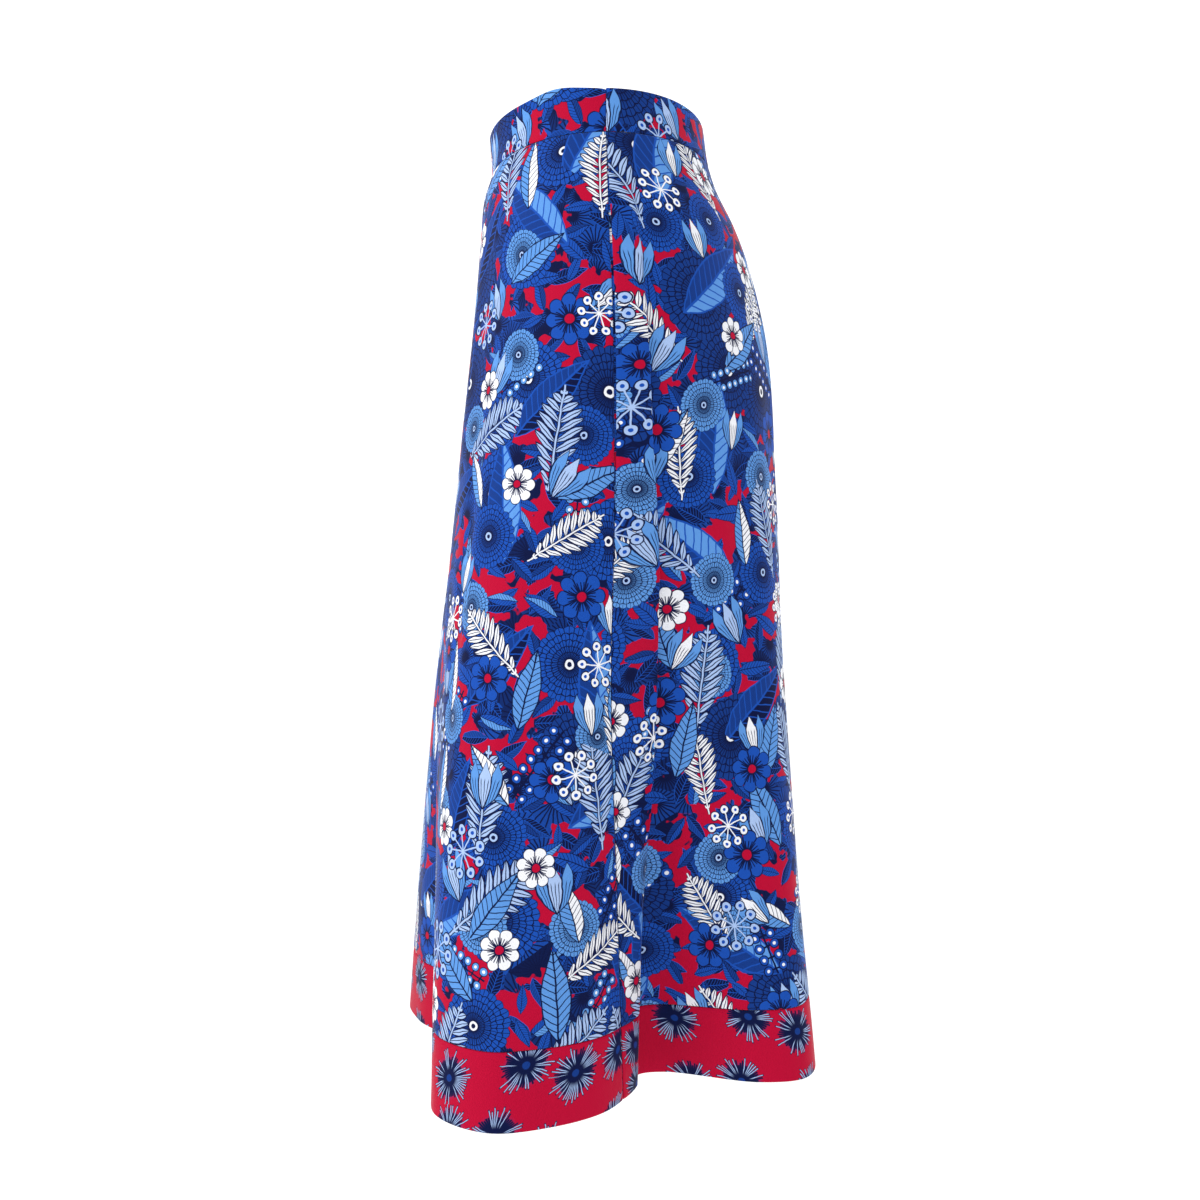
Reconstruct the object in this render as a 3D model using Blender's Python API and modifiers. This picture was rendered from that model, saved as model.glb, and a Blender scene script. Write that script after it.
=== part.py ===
"""A long A-line skirt of printed cotton, in the hollow shape that it has when worn.

World axes, in metres: +X is the wearer's left side, -Y the front and +Z up. The origin is the
middle of the waist, half way up the waistband. The cloth is a wall of even thickness. Its outer
face runs through level sections: plain ovals down to the hip, and below it ovals that turn
little by little into the fluted outline of the hem, so each flute runs straight from hip to hem.
"""

import bmesh
import bpy
import numpy as np

# Sizes of the cut pieces
WAISTBAND_HEIGHT = 0.038
SKIRT_DROP = 0.820  # waist seam to hem, down the front
HEM_BAND_DEPTH = 0.064
SEAM_GAP = 0.0003

# Thickness of each piece's wall
WAISTBAND_THICK = 0.0024  # two layers of cloth with interfacing between
PANEL_THICK = 0.0012
HEM_BAND_THICK = 0.0018  # folded double at the hem

# How closely the walls are divided
PANEL_COLUMNS = 54
SEAM_COLUMN = 0.0015  # width at the waist of the narrow column beside each side seam
WAISTBAND_COLUMNS = 28
WAISTBAND_ROWS = 4
UPPER_ROWS = 9  # waist seam to hip, where the wall curves downwards as well
LOWER_ROWS = 12  # hip to hem band
HEM_BAND_ROWS = 4
OVAL_STEPS = 180  # points on half of an oval section
LOOP_STEPS = 40  # points on each stretch of the hem's outline
LOOP_OVERLAP = 3  # rows of the outline repeated at its ends, so that it closes smoothly

WAIST_SEAM_Z = -WAISTBAND_HEIGHT / 2
HEM_Z = WAIST_SEAM_Z - SKIRT_DROP
HEM_BAND_Z = HEM_Z + HEM_BAND_DEPTH
HIP_Z = -0.160

# Level sections from the top down. "tilt" is how much higher the section is at the back than at
# the front, "seam" how far the side seams lie behind the middle, and "folds" how far the oval has
# turned into the hem's outline.
SECTION_COLUMNS = ("name", "z", "half_width", "front", "back", "tilt", "seam", "folds")
SECTIONS = [
    ("band top", -WAIST_SEAM_Z, 0.1400, 0.1000, 0.0997, 0.0075, 0.0085, 0.0),
    ("waist seam", WAIST_SEAM_Z, 0.1440, 0.0985, 0.1055, 0.0080, 0.0085, 0.0),
    ("below the waist", -0.040, 0.1500, 0.1048, 0.1120, 0.0078, 0.0090, 0.0),
    ("high hip", -0.075, 0.1600, 0.1078, 0.1290, 0.0070, 0.0100, 0.0),
    ("hip", HIP_Z, 0.1720, 0.1150, 0.1545, 0.0050, 0.0135, 0.0),
    ("thigh", -0.320, 0.1850, 0.1320, 0.1630, 0.0030, 0.0140, 0.14),
    ("knee", -0.500, 0.1950, 0.1490, 0.1622, 0.0010, 0.0060, 0.40),
    ("calf", -0.680, 0.2000, 0.1640, 0.1620, 0.0, 0.0080, 0.69),
    ("hem", HEM_Z, 0.2000, 0.1700, 0.1700, 0.0, 0.0, 1.0),
]

# The hem seen from above, one row for each fold and valley, from the left seam round the back.
# "lift" is how much higher than the front the hem hangs there.
HEM_COLUMNS = ("name", "x", "y", "lift")
HEM_OUTLINE = [
    ("left seam", 0.137, 0.0235, 0.005),
    ("left valley side", 0.108, 0.0345, 0.006),
    ("left valley, inner side", 0.087, 0.0385, 0.008),
    ("left valley", 0.083, 0.0600, 0.010),
    ("back left fold, near", 0.118, 0.1400, 0.013),
    ("back left fold", 0.107, 0.1810, 0.013),
    ("back left fold, far", 0.055, 0.1955, 0.014),
    ("back valley", -0.015, 0.1600, 0.014),
    ("back right fold", -0.090, 0.2100, 0.014),
    ("back right fold, far", -0.160, 0.1750, 0.012),
    ("right back valley", -0.135, 0.0980, 0.010),
    ("right fold, back", -0.192, 0.0700, 0.008),
    ("right seam", -0.208, 0.0260, 0.006),
    ("right fold, front", -0.184, -0.0160, 0.004),
    ("right valley", -0.140, -0.0550, 0.003),
    ("front right fold, back", -0.196, -0.1200, 0.001),
    ("front right fold", -0.180, -0.1940, 0.0),
    ("front right fold, inner", -0.105, -0.1810, 0.0),
    ("front valley", -0.020, -0.1280, 0.0),
    ("front left fold, inner", 0.075, -0.1400, 0.0),
    ("front left fold, corner", 0.160, -0.1330, 0.0),
    ("front left fold", 0.200, -0.0850, 0.0),
    ("front left fold, side", 0.190, -0.0320, 0.002),
    ("front left fold, back", 0.168, 0.0040, 0.004),
]
RIGHT_SEAM = "right seam"  # the outline starts at the left seam

PRINT_BLUE = (0.020, 0.075, 0.330)
BAND_RED = (0.560, 0.006, 0.040)
COTTON_ROUGHNESS = 0.7


def column(table, columns, name):
    """One named column of a table, as an array."""
    return np.array([row[columns.index(name)] for row in table])


def through(knots, values, at):
    """A smooth curve through values at knots, read at the places in at."""
    slope = np.gradient(values, knots, axis=0)
    i = np.clip(np.searchsorted(knots, at) - 1, 0, len(knots) - 2)
    step = knots[i + 1] - knots[i]
    shape = (-1,) + (1,) * (values.ndim - 1)
    t = ((at - knots[i]) / step).reshape(shape)
    step = step.reshape(shape)
    start, end = values[i], values[i + 1]
    bend_out = slope[i] * step - (end - start)
    bend_in = (end - start) - slope[i + 1] * step
    return start + t * (end - start) + t * (1 - t) * ((1 - t) * bend_out + t * bend_in)


def closed_outline(points):
    """A smooth closed outline through a ring of points, with LOOP_STEPS places on each stretch."""
    around = np.concatenate([points[-LOOP_OVERLAP:], points, points[:LOOP_OVERLAP]])
    chords = np.linalg.norm(np.diff(around[:, :2], axis=0), axis=1)
    knots = np.concatenate([[0.0], np.cumsum(np.sqrt(chords))])
    places = np.arange(len(points) * LOOP_STEPS) / LOOP_STEPS
    whole = np.floor(places).astype(int)
    start = whole + LOOP_OVERLAP
    at = knots[start] + (places - whole) * (knots[start + 1] - knots[start])
    return through(knots, around, at)


def evenly(curve, shares):
    """Points at the given shares of a curve's length in plan."""
    steps = np.linalg.norm(np.diff(curve[:, :2], axis=0), axis=1)
    along = np.concatenate([[0.0], np.cumsum(steps)])
    at = shares * along[-1]
    return np.stack([np.interp(at, along, curve[:, k]) for k in range(curve.shape[1])], axis=1)


def hem_half(side):
    """The hem's outline on one half, as x, y and lift, from seam to seam."""
    ring = np.stack([column(HEM_OUTLINE, HEM_COLUMNS, key) for key in ("x", "y", "lift")], axis=1)
    loop = closed_outline(ring)
    names = list(column(HEM_OUTLINE, HEM_COLUMNS, "name"))
    right = names.index(RIGHT_SEAM) * LOOP_STEPS
    if side == "back":
        return loop[: right + 1]
    return np.concatenate([loop[right:], loop[:1]])


def oval_half(side, half_width, front, back, tilt, seam):
    """Half of an oval section, as x, y and lift, from seam to seam."""
    seam_turn = np.arcsin(seam / back)
    turn = np.linspace(seam_turn, np.pi - seam_turn, OVAL_STEPS + 1)
    if side == "front":
        turn = np.linspace(np.pi - seam_turn, 2 * np.pi + seam_turn, OVAL_STEPS + 1)
    x = half_width * np.cos(turn)
    y = np.where(np.sin(turn) > 0, back, front) * np.sin(turn)
    return np.stack([x, y, tilt * y / (front + back)], axis=1)


def cloth(side, levels, shares):
    """Points of the skirt's outer face on one half: a row for each level, a column for each share."""
    hem = evenly(hem_half(side), shares)
    rings = []
    for _, _, *oval_sizes, folds in SECTIONS:
        oval = evenly(oval_half(side, *oval_sizes), shares)
        rings.append((1 - folds) * oval + folds * hem)
    down = -column(SECTIONS, SECTION_COLUMNS, "z")
    points = through(down, np.array(rings), -levels)
    points[:, :, 2] += levels[:, None]
    return points


def seam_shares(side, columns):
    """Shares across a half, clear of the side seams by half the gap, with a narrow column beside each."""
    waist = cloth(side, np.array([WAIST_SEAM_Z]), np.linspace(0, 1, OVAL_STEPS))[0]
    length = np.linalg.norm(np.diff(waist, axis=0), axis=1).sum()
    edge = SEAM_GAP / 2 / length
    narrow = edge + SEAM_COLUMN / length
    return np.concatenate([[edge], np.linspace(narrow, 1 - narrow, columns - 1), [1 - edge]])


def cloth_wall(name, points, thick, material, collection):
    """A grid laid on the points of the outer face and thickened inwards."""
    rows, columns = points.shape[:2]
    bm = bmesh.new()
    bmesh.ops.create_grid(bm, x_segments=columns - 1, y_segments=rows - 1, size=1)
    for vert in bm.verts:
        across = round((vert.co.x + 1) / 2 * (columns - 1))
        down = round((1 - vert.co.y) / 2 * (rows - 1))
        vert.co = points[down, across]
    mesh = bpy.data.meshes.new(name)
    bm.to_mesh(mesh)
    bm.free()
    mesh.shade_smooth()
    mesh.materials.append(material)
    piece = bpy.data.objects.new(name, mesh)
    collection.objects.link(piece)
    wall = piece.modifiers.new("wall", "SOLIDIFY")
    wall.thickness = thick
    wall.offset = -1.0
    wall.use_even_offset = True
    return piece


def fabric(name, colour):
    """Plain dyed cotton."""
    material = bpy.data.materials.new(name)
    material.use_nodes = True
    shader = material.node_tree.nodes["Principled BSDF"]
    shader.inputs["Base Color"].default_value = (*colour, 1.0)
    shader.inputs["Roughness"].default_value = COTTON_ROUGHNESS
    shader.inputs["Metallic"].default_value = 0.0
    return material


def main():
    for old in list(bpy.data.objects):
        bpy.data.objects.remove(old)
    skirt = bpy.data.collections.new("a_line_skirt")
    bpy.context.scene.collection.children.link(skirt)
    printed = fabric("printed_cotton", PRINT_BLUE)
    border = fabric("border_cotton", BAND_RED)

    half_gap = SEAM_GAP / 2
    waistband_levels = np.linspace(-WAIST_SEAM_Z, WAIST_SEAM_Z + half_gap, WAISTBAND_ROWS)
    upper = np.linspace(WAIST_SEAM_Z - half_gap, HIP_Z, UPPER_ROWS)
    lower = np.linspace(HIP_Z, HEM_BAND_Z + half_gap, LOWER_ROWS)
    panel_levels = np.concatenate([upper, lower[1:]])
    hem_band_levels = np.linspace(HEM_BAND_Z - half_gap, HEM_Z, HEM_BAND_ROWS)
    pieces = [
        ("waistband", waistband_levels, WAISTBAND_COLUMNS, WAISTBAND_THICK, printed),
        ("panel", panel_levels, PANEL_COLUMNS, PANEL_THICK, printed),
        ("hem_band", hem_band_levels, PANEL_COLUMNS, HEM_BAND_THICK, border),
    ]
    for side in ("front", "back"):
        for part, levels, columns, thick, material in pieces:
            points = cloth(side, levels, seam_shares(side, columns))
            cloth_wall(f"{part}_{side}", points, thick, material, skirt)


main()
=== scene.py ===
import math
from functools import partial

import bmesh
import bpy
import numpy as np
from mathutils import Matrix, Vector, noise


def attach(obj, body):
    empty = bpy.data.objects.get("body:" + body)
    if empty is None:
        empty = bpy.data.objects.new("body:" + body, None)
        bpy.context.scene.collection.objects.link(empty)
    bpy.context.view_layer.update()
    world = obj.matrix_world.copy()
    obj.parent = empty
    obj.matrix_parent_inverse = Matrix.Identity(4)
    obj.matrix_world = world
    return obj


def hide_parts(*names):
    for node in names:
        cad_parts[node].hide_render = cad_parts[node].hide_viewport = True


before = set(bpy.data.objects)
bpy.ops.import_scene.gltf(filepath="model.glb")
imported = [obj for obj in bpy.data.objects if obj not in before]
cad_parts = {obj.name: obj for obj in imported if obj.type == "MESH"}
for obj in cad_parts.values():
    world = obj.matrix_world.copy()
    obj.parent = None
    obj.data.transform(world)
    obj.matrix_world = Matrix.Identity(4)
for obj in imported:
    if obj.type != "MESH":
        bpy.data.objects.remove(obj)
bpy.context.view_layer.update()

print("frame loaded:", ", ".join(sorted(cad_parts)))


def linearColour(code):  # sRGB hex to linear, with full opacity
    channels = [int(code[k:k + 2], 16) / 255 for k in (1, 3, 5)]
    return [c / 12.92 if c <= 0.04045 else ((c + 0.055) / 1.055) ** 2.4 for c in channels] + [1.0]


def addNode(tree, kind, inputs=(), output=0, **settings):  # kind is the node's type and operation
    kind, *operation = kind.split()
    node = tree.nodes.new(kind if kind.startswith("NodeGroup") else "ShaderNode" + kind)
    if operation:
        node.operation = operation[0]
    for name, value in settings.items():
        setattr(node, name, value)
    pairs = inputs.items() if isinstance(inputs, dict) else enumerate(inputs)
    for socket, value in pairs:
        if isinstance(value, bpy.types.NodeSocket):
            tree.links.new(value, node.inputs[socket])
        elif value is not None:
            node.inputs[socket].default_value = value
    return node.outputs[output] if output is not None and node.outputs else node


def newGroup(name, inputs, outputs):
    tree = bpy.data.node_groups.new(name, "ShaderNodeTree")
    for label, kind in inputs.items():
        tree.interface.new_socket(label, in_out="INPUT", socket_type="NodeSocket" + kind)
    for label, kind in outputs.items():
        tree.interface.new_socket(label, in_out="OUTPUT", socket_type="NodeSocket" + kind)
    add = partial(addNode, tree)
    return tree, add, add("NodeGroupInput", output=None).outputs


def addObject(name, data):
    made = bpy.data.objects.new(name, data)
    bpy.context.scene.collection.objects.link(made)
    return made


def emptied(owner):  # clears a new material or world, and gives what adds nodes to it
    owner.use_nodes = True
    owner.node_tree.nodes.clear()
    return partial(addNode, owner.node_tree)


alongX, alongY = (1.0, 0.0, 0.0), (0.0, 1.0, 0.0)
softStep = {"interpolation_type": "SMOOTHSTEP", "clamp": False}  # from 0 to 1, as an inked edge


def coordinates(add, place):  # by dot products, because Separate XYZ fills the shader's memory
    return [add("VectorMath DOT_PRODUCT", [place, way], 1) for way in (alongX, alongY)]


def nearCell(add, cells, wander):  # a scatter's nearest centre, and the way from it
    near = {"Vector": cells, "Scale": 1.0, "Randomness": wander}
    near = add("TexVoronoi", near, None, voronoi_dimensions="2D").outputs
    return near, add("VectorMath SUBTRACT", [cells, near["Position"]])


def angleAt(add, place):
    x, y = coordinates(add, place)
    return add("Math ARCTAN2", [y, x])


def merge(add, how, mask, *others):  # MAXIMUM covers what any mask does, MULTIPLY what all do
    for other in others:
        mask = add("Math " + how, [mask, other])
    return mask


def overprint(add, colour, *printed):  # each ink goes over the ones before it, where its mask is 1
    for mask, shade in printed:
        colour = add("Mix", {0: mask, 6: colour, 7: shade}, 2, data_type="RGBA")
    return colour


# The print's inks
inks = {
    "crimson": "#BA0A34",
    "cobalt": "#1B4FB0",
    "deep": "#153A86",
    "navy": "#0B1540",
    "sky": "#5E97DE",
    "pale": "#A9C3EE",
    "white": "#F2F4FA",
}
ink = {name: linearColour(code) for name, code in inks.items()}

# How far motifs stray from an even grid, and how their scale varies: 1.15 down to 0.85
scatter = {"wander": 0.55, "vary": (-0.3, 1.15)}


def scatterPlacing():  # turns a point of the cloth into a point on the motif of its cell
    tree, add, given = newGroup(
        "place in a scatter",
        {"Cloth": "Vector", "Cell": "Float", "Seed": "Vector", "Share": "Float", "Size": "Float",
         "Base": "Float", "Spread": "Float"},
        {"Place": "Vector", "Chosen": "Float", "Tone": "Float"},
    )
    cells = add("VectorMath DIVIDE", [given["Cloth"], given["Cell"]])
    cells = add("VectorMath ADD", [cells, given["Seed"]])
    near, offset = nearCell(add, cells, scatter["wander"])
    red, green, blue = add("SeparateColor", [near["Color"]], None).outputs
    turn = add("Math MULTIPLY_ADD", [red, given["Spread"], given["Base"]])
    turned = add("VectorRotate", {"Vector": offset, "Angle": turn}, rotation_type="Z_AXIS")
    vary = add("Math MULTIPLY_ADD", [blue, *scatter["vary"]])
    scale = add("Math DIVIDE", [given["Cell"], given["Size"]])
    scale = add("Math MULTIPLY", [scale, vary])
    sized = add("VectorMath SCALE", {0: turned, "Scale": scale})
    chosen = add("Math LESS_THAN", [green, given["Share"]])
    tone = add("Math GREATER_THAN", [blue, 0.5])
    add("NodeGroupOutput", [sized, chosen, tone])
    return tree


# The motifs. Each function returns what its motif covers, its first ink and the inks over that. The
# unit is 1 mm of cloth where a layer's size is 1
def drawLeaf(add, place):  # a pointed leaf, 80 by 26, with a midrib and slanting veins
    x, y = coordinates(add, place)
    side = add("Math ABSOLUTE", [y])
    along = add("Math DIVIDE", [x, 40.0])
    square = add("Math MULTIPLY", [along, along])
    swell = add("Math MULTIPLY_ADD", [square, -13.0, 13.0])
    lean = add("Math MULTIPLY_ADD", [along, -0.28, 1.0])
    lean = add("Math MAXIMUM", [lean, 0.1])
    half = add("Math MULTIPLY", [swell, lean])
    inside = add("Math SUBTRACT", [half, side])
    cover = add("MapRange", [inside, -0.2, 0.3], **softStep)
    rim = add("MapRange", [inside, 1.5, 0.9], **softStep)
    rib = add("MapRange", [side, 1.0, 0.5], **softStep)
    slant = add("Math MULTIPLY_ADD", [side, -0.8, x])
    vein = add("Math PINGPONG", [slant, 3.2])
    vein = add("MapRange", [vein, 0.75, 0.3], **softStep)
    lines = merge(add, "MAXIMUM", rim, rib, vein)
    upper = add("Math GREATER_THAN", [y, 0.0])
    return cover, "Fill", (upper, "Heart"), (lines, "Line")


def drawFlower(add, place):  # a round open flower of eight petals, 44 across
    angle = angleAt(add, place)
    radius = add("VectorMath LENGTH", [place], 1)
    turn = add("Math MULTIPLY", [angle, 4.0])
    wave = add("Math COSINE", [turn])
    wave = add("Math ABSOLUTE", [wave])
    bulge = add("Math POWER", [wave, 0.5])
    rimAt = add("Math MULTIPLY_ADD", [bulge, 6.5, 15.5])
    inside = add("Math SUBTRACT", [rimAt, radius])
    cover = add("MapRange", [inside, -0.2, 0.3], **softStep)
    rim = add("MapRange", [inside, 1.4, 0.8], **softStep)
    split = add("Math MULTIPLY", [wave, radius])
    split = add("MapRange", [split, 3.2, 1.8], **softStep)
    hairs = add("Math MULTIPLY", [angle, 12.0])
    hairs = add("Math SINE", [hairs])
    hairs = add("Math MULTIPLY", [hairs, radius])
    hairs = add("Math ABSOLUTE", [hairs])
    hairs = add("MapRange", [hairs, 7.0, 4.0], **softStep)
    short = add("MapRange", [radius, 13.0, 12.0], **softStep)
    hairs = add("Math MULTIPLY", [hairs, short])
    ring = add("MapRange", [radius, 5.8, 5.2], **softStep)
    lines = merge(add, "MAXIMUM", rim, split, hairs, ring)
    heart = add("MapRange", [radius, 4.4, 3.8], **softStep)
    return cover, "Fill", (lines, "Line"), (heart, "Heart")


def drawAster(add, place):  # a full head of narrow petals in six rings, 84 across
    angle = angleAt(add, place)
    radius = add("VectorMath LENGTH", [place], 1)
    ring = add("Math DIVIDE", [radius, 7.0])
    whole = add("Math FLOOR", [ring])
    shift = add("Math MULTIPLY", [whole, 0.5])
    turn = add("Math MULTIPLY_ADD", [angle, 22 / math.tau, shift])  # 22 petals
    across = add("Math PINGPONG", [turn, 0.5])  # 0 mid petal, 0.5 between two
    tip = add("Math MULTIPLY", [across, across])
    reach = add("Math MULTIPLY_ADD", [tip, 1.5, ring])
    cover = add("MapRange", [reach, 6.03, 5.97], **softStep)
    past = add("Math SUBTRACT", [reach, whole])
    past = add("Math SUBTRACT", [past, 1.0])
    past = add("Math ABSOLUTE", [past])
    tips = add("MapRange", [past, 0.14, 0.07], **softStep)
    gap = add("Math SUBTRACT", [0.5, across])
    gap = add("Math MULTIPLY", [gap, radius])
    between = add("MapRange", [gap, 2.4, 1.2], **softStep)
    spine = add("Math MULTIPLY", [across, radius])
    spine = add("MapRange", [spine, 1.6, 0.8], **softStep)
    lines = merge(add, "MAXIMUM", tips, between, spine)
    shade = add("MapRange", [radius, 30.0, 4.0], **softStep)
    shade = add("Math MULTIPLY", [shade, 0.55])
    heart = add("Math SUBTRACT", [radius, 3.9])
    heart = add("Math ABSOLUTE", [heart])
    heart = add("MapRange", [heart, 1.5, 1.0], **softStep)
    return cover, "Fill", (shade, "Line"), (lines, "Line"), (heart, "Heart")


def drawFrond(add, place):  # a stem with paired narrow leaflets, 90 long
    x, y = coordinates(add, place)
    side = add("Math ABSOLUTE", [y])
    root = add("Math MULTIPLY_ADD", [side, -0.75, x])  # where it leaves the stem
    along = add("Math DIVIDE", [root, 42.0])
    square = add("Math MULTIPLY", [along, along])
    reach = add("Math MULTIPLY_ADD", [square, -20.0, 20.0])
    reach = add("Math MAXIMUM", [reach, 0.1])
    part = add("Math DIVIDE", [side, reach])
    rest = add("Math SUBTRACT", [1.0, part])
    belly = add("Math MULTIPLY", [part, rest])
    cell = add("Math PINGPONG", [root, 4.0])
    half = add("Math MULTIPLY_ADD", [belly, 12.5, 0.3])
    inside = add("Math SUBTRACT", [half, cell])
    within = add("Math MAXIMUM", [part, square])
    within = add("MapRange", [within, 1.02, 0.98], **softStep)
    leaflet = add("MapRange", [inside, -0.9, -0.5], **softStep)
    leaflet = add("Math MULTIPLY", [leaflet, within])
    length = add("Math ABSOLUTE", [x])
    stemEnd = add("MapRange", [length, 46.0, 45.0], **softStep)
    stem = add("MapRange", [side, 1.7, 1.3], **softStep)
    stem = add("Math MULTIPLY", [stem, stemEnd])
    cover = add("Math MAXIMUM", [leaflet, stem])
    fill = add("MapRange", [inside, 0.2, 0.6], **softStep)
    spine = add("MapRange", [cell, 0.25, 0.7], **softStep)
    fill = merge(add, "MULTIPLY", fill, spine, within)
    stemFill = add("MapRange", [side, 0.9, 0.5], **softStep)
    fill = add("Math MAXIMUM", [fill, stemFill])
    return cover, "Line", (fill, "Fill")


def drawUmbel(add, place):  # stalks that fan out to nine round seeds, 50 across
    angle = angleAt(add, place)
    radius = add("VectorMath LENGTH", [place], 1)
    turn = add("Math MULTIPLY", [angle, 9 / math.tau])
    across = add("Math PINGPONG", [turn, 0.5])
    swing = add("Math MULTIPLY", [across, math.tau / 9])
    sine = add("Math SINE", [swing])
    off = add("Math MULTIPLY", [sine, radius])
    out = add("Math SUBTRACT", [radius, 19.0])
    seed = add("CombineXYZ", [off, out])
    seed = add("VectorMath LENGTH", [seed], 1)
    stalk = add("MapRange", [off, 0.9, 0.5], **softStep)
    stalkEnd = add("MapRange", [radius, 16.0, 15.5], **softStep)
    stalk = add("Math MULTIPLY", [stalk, stalkEnd])
    cover = add("MapRange", [seed, 5.6, 5.2], **softStep)
    cover = add("Math MAXIMUM", [cover, stalk])
    fill = add("MapRange", [seed, 4.5, 4.0], **softStep)
    heart = add("MapRange", [seed, 1.9, 1.5], **softStep)
    return cover, "Line", (fill, "Fill"), (heart, "Heart"), (stalk, "Fill")


def drawTulip(add, place):  # a cup of three pointed petals, 30 wide and 38 high
    x, y = coordinates(add, place)
    side = add("Math ABSOLUTE", [x])
    crown = add("Math PINGPONG", [side, 5.0])  # tips at the middle and 10 out
    crown = add("Math MULTIPLY_ADD", [crown, -2.4, 19.0])
    below = add("Math SUBTRACT", [crown, y])
    low = add("Math MINIMUM", [y, 4.0])
    low = add("Math SUBTRACT", [low, 4.0])
    low = add("Math DIVIDE", [low, 23.0])
    low = add("Math MULTIPLY", [low, low])
    half = add("Math MULTIPLY_ADD", [low, -15.0, 15.0])
    within = add("Math SUBTRACT", [half, side])
    inside = add("Math MINIMUM", [below, within])
    cover = add("MapRange", [inside, -0.2, 0.3], **softStep)
    rim = add("MapRange", [inside, 1.5, 0.9], **softStep)
    fold = add("Math MULTIPLY", [half, 0.36])
    fold = add("Math SUBTRACT", [side, fold])
    outer = add("Math GREATER_THAN", [fold, 0.0])
    fold = add("Math ABSOLUTE", [fold])
    fold = add("MapRange", [fold, 0.8, 0.4], **softStep)
    ray = add("Math ADD", [y, 30.0])
    ray = add("Math DIVIDE", [x, ray])
    ray = add("Math PINGPONG", [ray, 0.045])
    ray = add("MapRange", [ray, 0.014, 0.007], **softStep)
    foot = add("MapRange", [y, 6.0, 2.0], **softStep)
    ray = add("Math MULTIPLY", [ray, foot])
    lines = merge(add, "MAXIMUM", rim, fold, ray)
    return cover, "Fill", (outer, "Heart"), (lines, "Line")


def drawBerry(add, place):  # a straight stem with pairs of round berries, 84 long
    x, y = coordinates(add, place)
    side = add("Math ABSOLUTE", [y])
    length = add("Math ABSOLUTE", [x])
    within = add("Math LESS_THAN", [length, 42.0])
    cell = add("Math PINGPONG", [x, 6.0])
    off = add("Math SUBTRACT", [side, 9.0])
    berry = add("CombineXYZ", [cell, off])
    berry = add("VectorMath LENGTH", [berry], 1)
    stalk = add("MapRange", [cell, 1.2, 0.8], **softStep)
    short = add("Math LESS_THAN", [side, 8.0])
    stalk = add("Math MULTIPLY", [stalk, short])
    stem = add("MapRange", [side, 1.3, 0.9], **softStep)
    stem = add("Math MAXIMUM", [stem, stalk])
    cover = add("MapRange", [berry, 5.6, 5.2], **softStep)
    cover = add("Math MAXIMUM", [cover, stem])
    cover = add("Math MULTIPLY", [cover, within])
    flesh = add("MapRange", [berry, 4.6, 4.1], **softStep)
    shine = add("MapRange", [berry, 2.1, 1.6], **softStep)
    return cover, "Line", (flesh, "Fill"), (shine, "Heart")


# The undergrowth: crimson ground, with blue shaggy growth over part of it
undergrowth = {
    "patch": 42.0,  # mm
    "share": 0.51,
    "edge": 0.01,
    "tuft": 25.0,  # mm
    "wander": 1.0,
    "strokes": 26,
    "hair": (0.120, 0.070),  # where a stroke's edge starts and ends, as a part of a tuft
}

# Motifs scattered over it in layers, printed in this order: motif, cell, seed, share, size, base,
# spread, fill, other fill, line, heart. Cell is the distance between motifs in millimetres, share
# how many of the cells hold one, base and spread how they are turned in degrees
layers = [
    ("leaf", 30, 3.7, 0.85, 0.42, 90, 300, "deep", "navy", "cobalt", "navy"),
    ("leaf", 26, 9.1, 0.75, 0.36, 90, 300, "cobalt", "deep", "navy", "cobalt"),
    ("leaf", 33, 5.3, 0.35, 0.46, 90, 200, "sky", "cobalt", "navy", "cobalt"),
    ("aster", 104, 1.2, 0.90, 0.85, 0, 360, "cobalt", "deep", "navy", "white"),
    ("leaf", 118, 2.2, 0.85, 1.25, 90, 120, "navy", "sky", "cobalt", "deep"),
    ("berry", 96, 6.1, 0.60, 0.80, 90, 160, "sky", "cobalt", "navy", "white"),
    ("aster", 78, 4.4, 0.60, 0.58, 0, 360, "sky", "cobalt", "navy", "pale"),
    ("frond", 100, 7.5, 0.85, 0.95, 90, 120, "white", "pale", "navy", "white"),
    ("leaf", 84, 8.8, 0.60, 0.85, 90, 120, "white", "sky", "navy", "sky"),
    ("tulip", 82, 2.9, 0.60, 1.00, 0, 80, "white", "pale", "navy", "sky"),
    ("flower", 74, 5.9, 0.50, 0.88, 0, 360, "white", "cobalt", "navy", "crimson"),
    ("umbel", 90, 3.3, 0.40, 0.90, 0, 360, "white", "pale", "navy", "cobalt"),
]


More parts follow.
